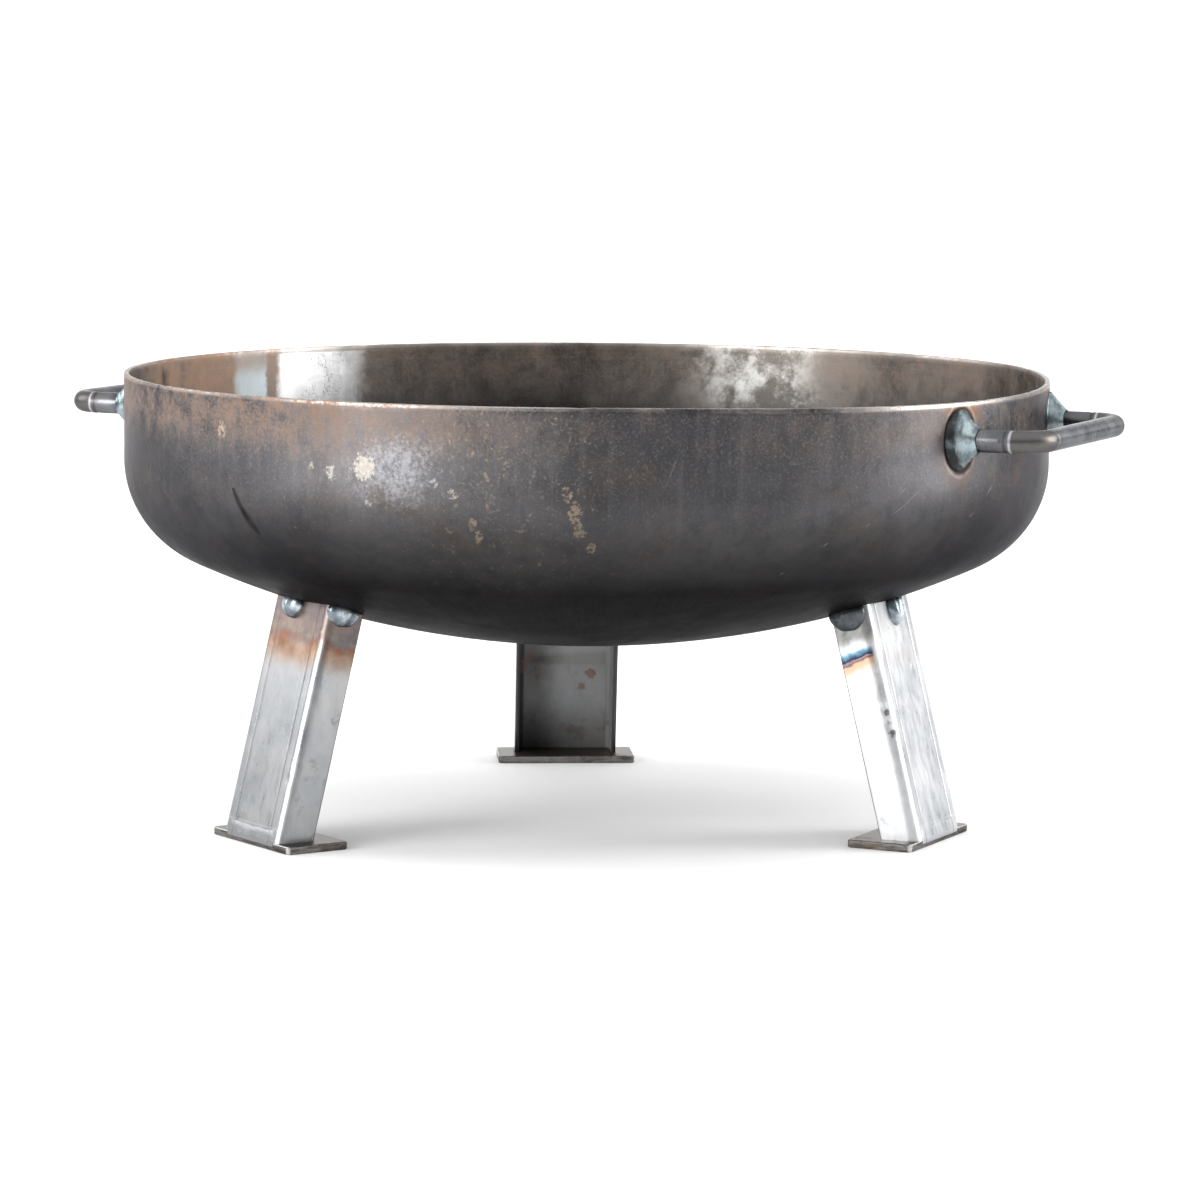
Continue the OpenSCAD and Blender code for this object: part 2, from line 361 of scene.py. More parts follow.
def bowlGrain(p, place):
    x, y, z = p.parts(place)
    r = p.maths("SQRT", x * x + y * y) + 0.0005
    grow = p.vector(x / r * 0.3, y / r * 0.3, z * 0.07)
    grain = {"clouds": p.cloud(place, 6.0, 6.0, 0.60),
             "patches": p.cloud(p.shift(place, (3.1, 0.4, 1.7)), 21.0, 6.0, 0.68, 0.3),
             "mottle": p.cloud(p.shift(place, (1.2, 5.4, 0.7)), 75.0, 6.0, 0.72),
             "streaks": p.cloud(grow, 120.0, 5.0, 0.65),
             "hairs": p.cloud(grow, 560.0, 3.0, 0.7),
             "grit": p.cloud(place, 620.0, 4.0, 0.68),
             "flakes": p.cloud(p.shift(place, (0.3, 2.2, 5.0)), 170.0, 6.0, 0.76, 0.5),
             "fine": p.cloud(p.shift(place, (4.4, 0.1, 2.0)), 420.0, 5.0, 0.74)}
    return grain, r, z


def bowlOutside(p, place, r, z):  # 1 on the outer skin, 0 on the inner one
    fall = p.maths("MAXIMUM", kneeZ - z, 0.0)
    shell = p.maths("SQRT", p.maths("MAXIMUM", bowl["knuckle"] ** 2 - fall * fall, 0.0)) + kneeR
    crown = p.apart(place, (0.0, 0.0, crownZ)) - bowl["crown"]
    dish = p.rise(crown, -0.0020, -0.0010) * (1 - p.rise(r, kneeR - 0.010, kneeR + 0.020))
    return p.maths("MAXIMUM", p.rise(r - shell, -0.0024, -0.0012), dish)


def bowlScale(p, grain, height):
    tone = p.blend(p.rise(grain["clouds"], 0.38, 0.64), bowlSteel["dark"], bowlSteel["mid"])
    tone = p.blend(p.rise(grain["patches"], 0.48, 0.72) * 0.50, tone, bowlSteel["warm"])
    tone = p.blend(p.rise(1 - grain["mottle"], 0.46, 0.70) * 0.38, tone, (0.050, 0.049, 0.053))
    tone = p.blend(p.rise(grain["grit"], 0.48, 0.72) * height * 0.36, tone, (0.24, 0.225, 0.215))
    tone = p.blend(p.rise(grain["streaks"], 0.50, 0.74) * height * 0.16, tone, (0.21, 0.205, 0.21))
    return p.blend(p.rise(1 - grain["hairs"], 0.52, 0.74) * height * 0.22, tone, (0.045, 0.042, 0.040))


def bowlRust(p, place, grain, z, outside):
    left = p.rise(p.dot(place, (-0.66, -0.75, 0.0)), 0.13, 0.285) * outside
    high = p.rise(z + grain["streaks"] * 0.03, 0.262, 0.292)
    strong = p.rise(grain["clouds"] * 0.5 + grain["mottle"] * 0.8 + grain["grit"] * 0.5, 0.74, 1.05)
    outer = high * strong * (left * 0.85 + 0.36)
    speck = p.rise(grain["flakes"] * 0.6 + grain["patches"] * 0.5, 0.60, 0.72) * (left * 0.4 + 0.16)
    flank = p.around(place, onBowl(-152, 0.235), 0.085, 0.02) * p.rise(grain["mottle"], 0.34, 0.60)
    outer = outer + flank * 0.55
    innerLeft = p.around(place, onBowl(177, 0.272, bowl["wall"]), 0.115, 0.03) * (1 - outside)
    inner = innerLeft * p.rise(grain["patches"] * 0.4 + grain["mottle"] * 0.6, 0.32, 0.58)
    grainy = p.rise(grain["grit"] * 0.5 + grain["flakes"] * 0.5, 0.38, 0.60) * 0.55 + 0.45
    return p.maths("MINIMUM", (outer + speck) * grainy + inner, 1.0)


def bowlSand(p, place, grain):
    field = p.around(place, onBowl(-74, 0.238), 0.120, 0.02)
    wide = p.around(place, onBowl(-86, 0.244), 0.230, 0.05)
    stray = p.rise(grain["clouds"], 0.52, 0.66)
    specks = grain["fine"] * 0.55 + grain["flakes"] * 0.45 + field * 0.045 + wide * 0.016 + stray * 0.012
    sand = p.rise(specks, 0.60, 0.70) * 0.70 + p.rise(grain["flakes"] + field * 0.03, 0.67, 0.74) * 0.35
    tall, broken = p.stretch(place, bowlWear["sandStretch"]), grain["flakes"] * 0.5 + grain["fine"] * 0.5
    crumbs = p.rise(grain["fine"], 0.40, 0.58)
    for azimuth, height, size in bowlWear["sandSpots"]:
        spot = tuple(a * b for a, b in zip(onBowl(azimuth, height), bowlWear["sandStretch"]))
        sand = p.maths("MAXIMUM", sand, p.ragged(tall, spot, size, broken) * crumbs)
    return sand


# a blue-white patch high on the front wall: partly a pale frosting of the scale, partly painted reflection of
# the lamp on the left
def bowlFrostAndReflection(p, place, grain):
    field = p.around(p.stretch(place, (1.0, 1.0, 1.25)), onBowl(-88.0, 0.3125), 0.052, 0.006)
    return p.rise(grain["fine"] * 0.6 + grain["mottle"] * 0.4 + field * 0.13, 0.53, 0.70) * field


def bowlChalk(p, place, grain):
    broken = grain["flakes"] * 0.45 + grain["fine"] * 0.55
    azimuth, height, size = bowlWear["chalkBlot"]
    chalk = p.ragged(place, onBowl(azimuth, height), size, broken) * (0.55 + grain["fine"] * 0.6)
    crumbs = p.rise(grain["fine"], 0.42, 0.62)
    for azimuth, height, size in bowlWear["chalkSpots"]:
        spot = p.ragged(place, onBowl(azimuth, height), size, broken) * crumbs * 0.75
        chalk = p.maths("MAXIMUM", chalk, spot)
    return chalk


# painted shade: the bowl darkens towards the bottom, and a little more low on one side
def bowlUnderside(p, place, grain, z, lower, tone):
    tone = p.blend(p.rise(grain["mottle"], 0.50, 0.70) * lower * 0.30, tone, (0.150, 0.122, 0.105))
    frontShade = p.rise(p.onTangent(place, bowlWear["frontShadeAt"] - 90), 0.10, 0.29) * lower
    tone = p.blend(frontShade * 0.30, tone, (0.030, 0.029, 0.028))
    shade = p.blend(p.rise(z, 0.136, 0.268), bowlSteel["under"], (1.0, 1.0, 1.0))
    return p.blend(1.0, tone, shade, "MULTIPLY")


def bowlScratches(p, place, outside, tone):
    for kind, colour in (("darkScratches", (0.015, 0.014, 0.014)), ("lightScratches", (0.42, 0.40, 0.38))):
        for startAzimuth, startHeight, endAzimuth, endHeight, width, strength in bowlWear[kind]:
            start, end = onBowl(startAzimuth, startHeight), onBowl(endAzimuth, endHeight)
            tone = p.blend(p.scratch(place, start, end, width) * outside * strength, tone, colour)
    return tone


def bowlWeldHalo(p, place, grain, outside, tone):
    x, y, z = p.parts(place)
    folded = p.vector(p.maths("ABSOLUTE", x), p.maths("ABSOLUTE", y) / weldCone["squash"], z)
    centre = (handle["arm"], handle["half"] / weldCone["squash"], handle["height"])
    away = p.apart(folded, centre) + (grain["patches"] - 0.5) * 0.003
    near = outside * (1 - p.rise(away, 0.022, 0.038))
    above = p.rise(z, handle["height"] + 0.004, handle["height"] + 0.018) * 0.55 + 0.25
    tone = p.blend(near * p.rise(grain["mottle"], 0.34, 0.58) * above, tone, (0.15, 0.085, 0.052))
    pale = p.band(away, 0.0229, 0.0016) * outside
    pale = pale * p.rise(grain["clouds"] + grain["mottle"] * 0.4, 0.55, 0.78)
    tone = p.blend(pale * 0.22, tone, (0.40, 0.34, 0.31))
    # a near-black ring round the foot of each weld cone
    weldFootRing = outside * (1 - p.rise(away + (grain["mottle"] - 0.5) * 0.003, 0.0202, 0.0219))
    return p.blend(weldFootRing * 0.90, tone, bowlSteel["weldFootDark"])


# bright patches on the inner back wall: partly polished steel, partly painted reflection of the lamps
def bowlPolishAndReflection(p, place, grain, z):
    loose = grain["patches"] - 0.5
    across = p.onTangent(place, 158.0) + (grain["mottle"] - 0.5) * 0.010
    back = (1 - p.rise(p.parts(place)[0], -0.15, -0.10)) * p.rise(z + loose * 0.02, 0.238, 0.258)
    wide = p.rise(across + loose * 0.03, -0.066, -0.036)
    wide = wide * (1 - p.rise(across + loose * 0.010, 0.0085, 0.0170))
    wide = wide * (1 - p.rise(z, bowl["rim"] - 0.0052, bowl["rim"] - 0.0030) * 0.85)
    narrow = p.rise(across, 0.0225, 0.0260) * (1 - p.rise(across, 0.050, 0.060))
    narrow = narrow * (1 - p.rise(z, 0.268, 0.281) * 0.7)
    return wide * back * (0.86 + grain["patches"] * 0.28), narrow * back * (0.5 + grain["mottle"] * 0.8)


# the silver and bluish patches on the inner wall are partly polished steel and partly painted reflection
def bowlInnerWall(p, place, grain, z, inner, polishAndReflection, tone):
    across = p.maths("ABSOLUTE", p.onTangent(place, 90.9)) + (grain["patches"] - 0.5) * 0.05
    silver = (1 - p.rise(across, 0.016, 0.062)) * p.rise(p.parts(place)[1], 0.15, 0.20)
    silver = silver * p.rise(z, 0.238, 0.256)
    silver = silver * p.rise(grain["mottle"] * 0.6 + grain["patches"] * 0.4, 0.40, 0.60)
    tone = p.blend(silver * inner * 0.72, tone, (0.74, 0.75, 0.73))
    tone = p.blend(polishAndReflection[0] * inner * 0.96, tone, bowlSteel["silver"])
    tone = p.blend(polishAndReflection[1] * inner * 0.70, tone, (0.55, 0.66, 0.72))
    seam = p.band(z, bowl["rim"] - 0.0105, 0.0009) * inner * p.rise(grain["streaks"], 0.34, 0.56)
    return p.blend(seam * 0.14, tone, (0.30, 0.28, 0.26))


def bowlSag(p, place):
    toward = p.onTangent(place, bowl["sagAt"] - 90)
    return p.rise(toward, bowl["radius"] * 0.60, bowl["radius"]) * bowl["sag"]


def bowlMaterial():
    p = Paint("oiledMillScale")
    place = p.place()
    grain, r, z = bowlGrain(p, place)
    outside = bowlOutside(p, place, r, z)
    inner = 1 - outside
    lower = 1 - p.rise(z, 0.20, 0.25)
    tone = bowlScale(p, grain, p.rise(z, 0.170, 0.262))

    wall = inner * p.rise(z, 0.236, 0.250)
    wallTone = p.blend(p.rise(grain["patches"], 0.36, 0.62), bowlSteel["wall"], bowlSteel["wallPale"])
    tone = p.blend(wall * 0.70, tone, wallTone)
    rust = bowlRust(p, place, grain, z, outside)
    tone = p.blend(rust * 0.80, tone, p.blend(grain["mottle"], bowlSteel["rust"], bowlSteel["rustPale"]))
    tone = p.blend(rust * inner * grain["mottle"], tone, (0.34, 0.22, 0.15))

    sand = bowlSand(p, place, grain) * outside
    tone = p.blend(sand * 0.75, tone, bowlSteel["sand"])
    frostAndReflection = bowlFrostAndReflection(p, place, grain) * outside
    tone = p.blend(frostAndReflection * 0.30, tone, bowlSteel["frostAndReflection"])
    chalk = bowlChalk(p, place, grain) * outside
    tone = p.blend(chalk * 0.70, tone, p.blend(grain["fine"], bowlSteel["chalk"], bowlSteel["chalkPale"]))

    tone = bowlUnderside(p, place, grain, z, lower, tone)
    tone = bowlScratches(p, place, outside, tone)
    tone = bowlWeldHalo(p, place, grain, outside, tone)
    polishAndReflection = bowlPolishAndReflection(p, place, grain, z)
    tone = bowlInnerWall(p, place, grain, z, inner, polishAndReflection, tone)

    # the rim's top edge is lighter: partly worn bright, partly a painted highlight along the rim
    rimWearAndHighlight = p.rise(z + bowlSag(p, place), bowl["rim"] - 0.0030, bowl["rim"] - 0.0014)
    rimWearAndHighlight = rimWearAndHighlight * p.rise(grain["clouds"] + grain["patches"] * 0.4, 0.52, 0.78)
    tone = p.blend(rimWearAndHighlight * 0.50, tone, p.blend(rust, bowlSteel["bright"], (0.30, 0.19, 0.13)))

    rough = 0.35 + (grain["patches"] - 0.5) * 0.30 + rust * 0.22 + (grain["hairs"] - 0.5) * 0.16
    rough = rough + (grain["grit"] - 0.5) * 0.18 + sand * 0.25 - rimWearAndHighlight * 0.08
    rough = rough - polishAndReflection[0] * inner * 0.12 + wall * 0.05 + lower * 0.12
    metal = p.maths("MAXIMUM", 0.96 - rust * 0.45 - sand * 0.6 - chalk * 0.55 - frostAndReflection * 0.3, 0.1)
    normal = p.bump(grain["hairs"] + grain["streaks"], 0.10, 0.0003)
    normal = p.bump(grain["grit"] + sand * 0.5 + chalk * 0.5, 0.14, 0.0003, normal)
    normal = p.bump(grain["patches"], 0.10, 0.0025, normal)
    return p.finish(tone, p.maths("MAXIMUM", rough, 0.2), metal, normal, Specular_Tint=(0.45, 0.45, 0.46))


# base is the cone's radius on the wall, length its reach along the bar
weldCone = {"base": 0.0198, "squash": 0.76, "length": 0.0125, "lip": 0.0006, "limit": 0.0199,
            "sides": 96, "rings": 40, "ripples": 4.0, "ripple": 0.00014, "lump": 0.00035}
makePiece("bowlShell", bowlShape(), bowlMaterial(), bowlBody, ["bowl"], sharp=50)
print("bowl shaped")


# handles, bent from round bar, with a cone of weld at each end
def handlePath():
    half, bend, grip = handle["half"], handle["bend"], handle["grip"]
    straight = grip - bend
    line = [(x, -half) for x in spaced(handle["arm"] - 0.001, straight, 20)][:-1]
    line += arcPoints((straight, bend - half), bend, -90, 0, 18)
    line += [(grip, y) for y in spaced(bend - half, half - bend, 60)][1:-1]
    line += arcPoints((straight, half - bend), bend, 0, 90, 18)
    line += [(x, half) for x in spaced(straight, handle["arm"] - 0.001, 20)][1:]
    return line


def handleShape():
    line = handlePath()
    rings, run = [], 0.0
    bend, half, straight = handle["bend"], handle["half"], handle["grip"] - handle["bend"]
    for i, (x, y) in enumerate(line):
        before, after = line[max(0, i - 1)], line[min(len(line) - 1, i + 1)]
        if i:
            run += math.dist(line[i - 1], line[i])
        along = Vector((after[0] - before[0], after[1] - before[1], 0)).normalized()
        side = Vector((along.y, -along.x, 0))
        inBend = smoothStep(straight - 0.004, straight + 0.006, x)
        inBend *= smoothStep(half - bend - 0.006, half - bend + 0.004, abs(y))
        dies = [math.hypot(x - straight, abs(y) - half), math.hypot(x - handle["grip"], abs(y) - half + bend)]
        mark = sum(math.exp(-(d / 0.0009) ** 2) for d in dies)
        ring = []
        for k in range(handle["sides"]):
            angle = 2 * math.pi * k / handle["sides"]
            c, s = math.cos(angle), math.sin(angle)
            radius = handle["bar"] / 2 * (1 - 0.006 - 0.004 * wobble(9 * run, c, s, 4))
            radius -= handle["pinch"] * mark
            out = c * radius * (1 - handle["flatten"] * inBend)
            point = Vector((x, y, handle["height"])) + side * out + Vector((0, 0, s * radius))
            wallX = math.sqrt(bowl["radius"] ** 2 - point.y ** 2) - 0.0004
            if i in (0, len(line) - 1) or point.x < wallX:
                point.x = wallX
            ring.append(point)
        rings.append(ring)
    return loft(rings, capped=True)


def barMaterial():
    p = Paint("drawnBar")
    place = p.place()
    x, y, z = p.parts(place)
    sideways = p.maths("ABSOLUTE", y)
    clouds = p.cloud(place, 38.0, 5.0, 0.6)
    fine = p.cloud(place, 420.0, 4.0, 0.65)
    drawn = p.cloud(p.stretch(place, (2.2, 0.25, 6.0)), 260.0, 3.0, 0.6)
    tone = p.blend(p.rise(clouds, 0.38, 0.66), (0.088, 0.092, 0.100), (0.165, 0.170, 0.182))
    tone = p.blend(p.rise(drawn, 0.48, 0.72) * 0.4, tone, (0.085, 0.085, 0.09))
    start, turning = handle["grip"] - handle["bend"], handle["half"] - handle["bend"]
    corner = (handle["grip"] - 0.007, handle["half"] - 0.007, handle["height"])
    bend = 1 - p.rise(p.apart(p.vector(x, sideways, z), corner), 0.012, 0.030)
    tone = p.blend(bend * p.rise(clouds, 0.36, 0.60) * 0.65, tone, (0.085, 0.067, 0.048))
    onArm = p.rise(sideways, turning + 0.008, turning + 0.012)
    dieIn = p.band(x, start + 0.0045, 0.0014) * onArm
    dieOut = p.band(sideways, turning - 0.0010, 0.0014)
    dieOut = dieOut * p.rise(x, handle["grip"] - 0.010, handle["grip"] - 0.006)
    tone = p.blend(p.maths("MAXIMUM", dieIn, dieOut * 0.3) * 0.55, tone, (0.62, 0.64, 0.70))
    tone = p.blend(p.band(x, start + 0.0012, 0.0018) * onArm * 0.6, tone, (0.03, 0.03, 0.04))
    nearWeld = 1 - p.rise(x + (clouds - 0.5) * 0.01, handle["arm"] + 0.011, handle["arm"] + 0.017)
    tone = p.blend(nearWeld * 0.75, tone, (0.050, 0.055, 0.060))
    pits = (1 - p.rise(p.cells(place, 330.0), 0.12, 0.26)) * p.rise(p.cloud(place, 60.0, 4.0), 0.52, 0.62)
    tone = p.blend(pits * 0.7, tone, (0.10, 0.06, 0.04))
    rough = 0.28 + (fine - 0.5) * 0.16 + (clouds - 0.5) * 0.2 + bend * 0.08
    normal = p.bump(fine + drawn * 0.7, 0.05, 0.0003)
    normal = p.bump(clouds, 0.06, 0.002, normal)
    rough = p.maths("MAXIMUM", rough, 0.16)
    return p.finish(tone, rough, 0.97 - pits * 0.6, normal, Specular_Tint=(0.5, 0.5, 0.5))


def handleWeldShape(end, seed):
    rings = []
    for i in range(weldCone["rings"] + 1):
        t = i / weldCone["rings"]
        ring = []
        for k in range(weldCone["sides"]):
            angle = 2 * math.pi * k / weldCone["sides"]
            c, s = math.cos(angle), math.sin(angle)
            lip = handle["bar"] / 2 + weldCone["lip"]
            uneven = 1 + 0.04 * wobble(1.2 * c, 1.2 * s, 0, seed) * (1 - t) - 0.02 * (1 - t)
            slope = (1 - t) ** 1.12
            radius = (lip + (weldCone["base"] - lip) * slope) * uneven
            swirl = t * weldCone["ripples"] + 0.35 * wobble(1.5 * c, 1.5 * s, 2 * t, seed + 5)
            ripple = weldCone["ripple"] * math.cos(2 * math.pi * swirl) * smoothStep(0.0, 0.12, t)
            ripple *= smoothStep(1.0, 0.85, t)
            lump = weldCone["lump"] * wobble(2.2 * c, 2.2 * s, 2 * t, seed + 2) * smoothStep(0.0, 0.2, t)
            radius = min(radius + ripple + lump, weldCone["limit"])
            squash = weldCone["squash"] + (1 - weldCone["squash"]) * smoothStep(0.3, 1.0, t)
            y = end * handle["half"] + radius * squash * c
            wallX = math.sqrt(bowl["radius"] ** 2 - y ** 2)
            reach = weldCone["length"] * (1 + 0.06 * wobble(c, s, 0, seed + 9)) * 0.96
            coneX = handle["arm"] + t * reach
            x = wallX - 0.0006 if i == 0 else max(coneX, wallX - 0.0003)
            ring.append((x, y, handle["height"] + radius * s))
        rings.append(ring)
    mouth = []
    for k, last in enumerate(rings[-1]):
        angle, radius = 2 * math.pi * k / weldCone["sides"], handle["bar"] / 2 * 0.97
        mouth.append((last[0] - 0.0008, end * handle["half"] + radius * math.cos(angle),
                      handle["height"] + radius * math.sin(angle)))
    return loft(rings + [mouth], capped=True)


def weldMaterial(name, low, high, darkening, crinkle):
    p = Paint(name)
    place = p.place()
    clouds = p.cloud(place, 95.0, 3.0, 0.5)
    brushed = p.cloud(p.stretch(place, (3.0, 3.0, 0.30)), 330.0, 4.0, 0.65)
    fine = p.cloud(place, 1300.0, 3.0, 0.6)
    tone = p.blend(p.rise(clouds + (brushed - 0.5) * 0.25, 0.34, 0.66), low, high)
    tone = p.blend(p.rise(brushed, 0.52, 0.70) * crinkle, tone, tint(low, 0.45))
    spatter = p.rise(p.cloud(place, 210.0, 4.0), 0.58, 0.66)
    tone = p.blend(spatter * crinkle, tone, (0.13, 0.075, 0.05))
    # burnt is the dark mask: oxide, and on the handle cones also painted shade on their lower side
    burnt = darkening(p, place)
    tone = p.blend(burnt * 0.9, tone, (0.018, 0.016, 0.016))
    rough = 0.26 + (brushed - 0.5) * 0.4 * crinkle + (fine - 0.5) * 0.12 + burnt * 0.15
    normal = p.bump(fine, 0.05, 0.0002)
    normal = p.bump(brushed + clouds, 0.22 * crinkle, 0.0006, normal)
    return p.finish(tone, p.maths("MAXIMUM", rough, 0.10), 0.97, normal, Specular_Tint=(0.7, 0.72, 0.75))


def coneOxideAndShade(p, place):
    y, z = p.parts(place)[1:]
    folded = p.vector(0.0, p.maths("ABSOLUTE", y) / weldCone["squash"], z)
    away = p.apart(folded, (0.0, handle["half"] / weldCone["squash"], handle["height"]))
    edge = p.rise(away + (p.cloud(place, 130.0, 4.0) - 0.5) * 0.006, 0.0165, 0.0195)
    # painted shade: the lower side of each cone is darkened
    low = 1 - p.rise(z, handle["height"] - 0.014, handle["height"] + 0.004)
    neck = 1 - p.rise(away, 0.0078, 0.0092)
    facing = 1 - p.rise(p.maths("ABSOLUTE", y), handle["half"] - 0.010, handle["half"] + 0.001)
    return p.maths("MINIMUM", edge + low * 0.60 + neck * 0.5 + facing * 0.40, 1.0)


barSteel = barMaterial()
coneSteel = weldMaterial("handleWeldMetal", (0.11, 0.135, 0.148), (0.36, 0.44, 0.465), coneOxideAndShade, 0.10)
for side, turn in (("right", 0), ("left", 180)):
    makePiece(f"handleBar.{side}", handleShape(), barSteel, bowlBody, [f"handle_{side}"], turn)
    for end, place in ((-1, "front"), (1, "rear")):
        label = place if side == "right" else {"front": "rear", "rear": "front"}[place]
        makePiece(f"handleWeld.{side}.{label}", handleWeldShape(end, turn / 30 + end), coneSteel, bowlBody,
                  [f"handle_{side}_weld_{label}"], turn, 60)
print("handles bent and welded")


# legs of folded channel, splayed outwards, on flat foot plates
splay = math.radians(leg["splay"])
legOut = Vector((math.cos(splay), 0, math.sin(splay)))
legUp = Vector((-math.sin(splay), 0, math.cos(splay)))
legFoot = Vector((leg["reach"], 0, leg["plate"]))


def legLengths(across, out):
    start = legFoot + legOut * out + Vector((0, across, 0))
    low = (leg["plate"] - start.z) / legUp.z
    toCrown = start - Vector((0, 0, crownZ))
    b = toCrown.dot(legUp)
    c = toCrown.length_squared - bowl["crown"] ** 2
    return low, -b - math.sqrt(b * b - c)


def legPoint(across, out, t, dent=0.0):
    low, high = legLengths(across, out)
    return legFoot + legOut * (out - dent) + Vector((0, across, 0)) + legUp * (low + (high - low) * t)


def legSection():
    half, fold, wall, depth = leg["width"] / 2, leg["fold"], leg["wall"], leg["depth"]
    flat = half - fold
    web = spaced(-flat, flat, 56)[1:-1]
    outside = arcPoints((-flat, -fold), fold, 180, 90, 8) + [(a, 0.0) for a in web]
    outside += arcPoints((flat, -fold), fold, 90, 0, 8)
    inside = arcPoints((flat, -fold), fold - wall, 0, 90, 6)
    inside += arcPoints((-flat, -fold), fold - wall, 90, 180, 6)
    flange = spaced(-fold, 0.0006 - depth, 10)[1:]
    tipRight = arcPoints((half - 0.0006, 0.0006 - depth), 0.0006, 0, -90, 2)[1:]
    tipRight += arcPoints((half - wall + 0.0006, 0.0006 - depth), 0.0006, -90, -180, 2)
    tipLeft = [(-a, o) for a, o in tipRight[::-1]]
    right = [(half, o) for o in flange] + tipRight + [(half - wall, o) for o in flange[::-1]][1:]
    left = [(wall - half, o) for o in flange][:-1] + tipLeft + [(-half, o) for o in flange[::-1]]
    return outside + right + inside + left


def legShape(dents):
    rings = []
    section = legSection()
    for i in range(leg["rings"] + 1):
        t = i / leg["rings"]
        ring = []
        for across, out in section:
            sink = 0.0
            if out > -0.0005:
                for lineAt in (-leg["line"], leg["line"]):
                    sink += leg["lineDepth"] * math.exp(-((across - lineAt) / (leg["lineWidth"] / 2)) ** 2)
                sink += leg["step"] * smoothStep(leg["line"] + 0.0005, leg["line"] - 0.0005, abs(across))
            for dentAcross, dentAt, size, deep in dents:
                gap = math.hypot(across - dentAcross, (t - dentAt) * 0.15)
                sink += deep * math.exp(-(gap / size) ** 2) if out > -0.010 else 0.0
            sink += leg["step"] * (0.5 + 0.5 * wobble(across * 60, out * 60, t * 6))
            ring.append(legPoint(across, out, t, sink))
        rings.append(ring)
    return loft(rings, capped=True)


# webAt and flangeAt move a bead along and down; web and flange are the beads' half sizes;
# spots are across, up and size; dents are across, up, size and depth
# each leg's tone, and its web's tone, are painted light and shade: the same steel made lighter or darker for
# how the light falls on that leg
legLooks = {
    "right": {"near": -1, "seed": 0.0, "tone": 0.84, "webShade": 0.40, "top": 0.92, "webTop": 0.35,
              "topEnd": 0.0180, "lower": 0.0078, "nick": 1.0, "burnt": 1.0, "blue": 1.0, "straw": 0.9,
              "rust": 0.0, "webHeat": 0.12, "webAt": (0.0045, 0.0045), "flangeAt": (0.0, 0.0030),
              "web": (0.0085, 0.0072, 0.0125), "flange": (0.0124, 0.0060, 0.0105), "spots": (),
              "dents": ((-0.0335, 0.56, 0.0032, 0.0010), (-0.0330, 0.50, 0.0030, 0.0009),
                        (0.012, 0.72, 0.002, 0.0004))},
    "left": {"near": 1, "seed": 3.7, "tone": 0.44, "webShade": 0.62, "top": 0.98, "webTop": 1.0,
             "topEnd": 0.029, "lower": 0.0, "nick": 0.0, "burnt": 0.0, "blue": 0.10, "straw": 0.75,
             "rust": 1.0, "webHeat": 1.0, "webAt": (-0.0065, 0.0025), "flangeAt": (0.0035, 0.0015),
             "web": (0.0104, 0.0074, 0.0092), "flange": (0.0114, 0.0062, 0.0098),
             "spots": ((0.026, 0.52, 0.007), (0.030, 0.30, 0.005)),
             "dents": ((0.034, 0.33, 0.003, 0.0005), (0.030, 0.27, 0.002, 0.0004))},
    "rear": {"near": 1, "seed": 8.1, "tone": 0.50, "webShade": 0.9, "top": 0.70, "webTop": 0.8,
             "topEnd": 0.020, "lower": 0.002, "nick": 0.3, "burnt": 0.2, "blue": 0.40, "straw": 0.60,
             "rust": 0.6, "webHeat": 0.8, "webAt": (0.002, 0.001), "flangeAt": (0.0, 0.001),
             "web": (0.0098, 0.0072, 0.0098), "flange": (0.0108, 0.0062, 0.0090),
             "spots": ((-0.015, 0.62, 0.0100), (-0.009, 0.55, 0.0095), (0.003, 0.57, 0.0080),
                       (-0.019, 0.38, 0.0070), (-0.013, 0.31, 0.0070)),
             "dents": ((-0.03, 0.45, 0.003, 0.0005),)},
}


def legFaces(p, depth, y):
    web = p.rise(depth, -0.0012, -0.0006)
    flange = p.rise(p.maths("ABSOLUTE", y), leg["width"] / 2 - 0.0022, leg["width"] / 2 - 0.0008)
    inside = (1 - p.rise(depth, -0.0032, -0.0028)) * (1 - flange)
    return web, flange, inside


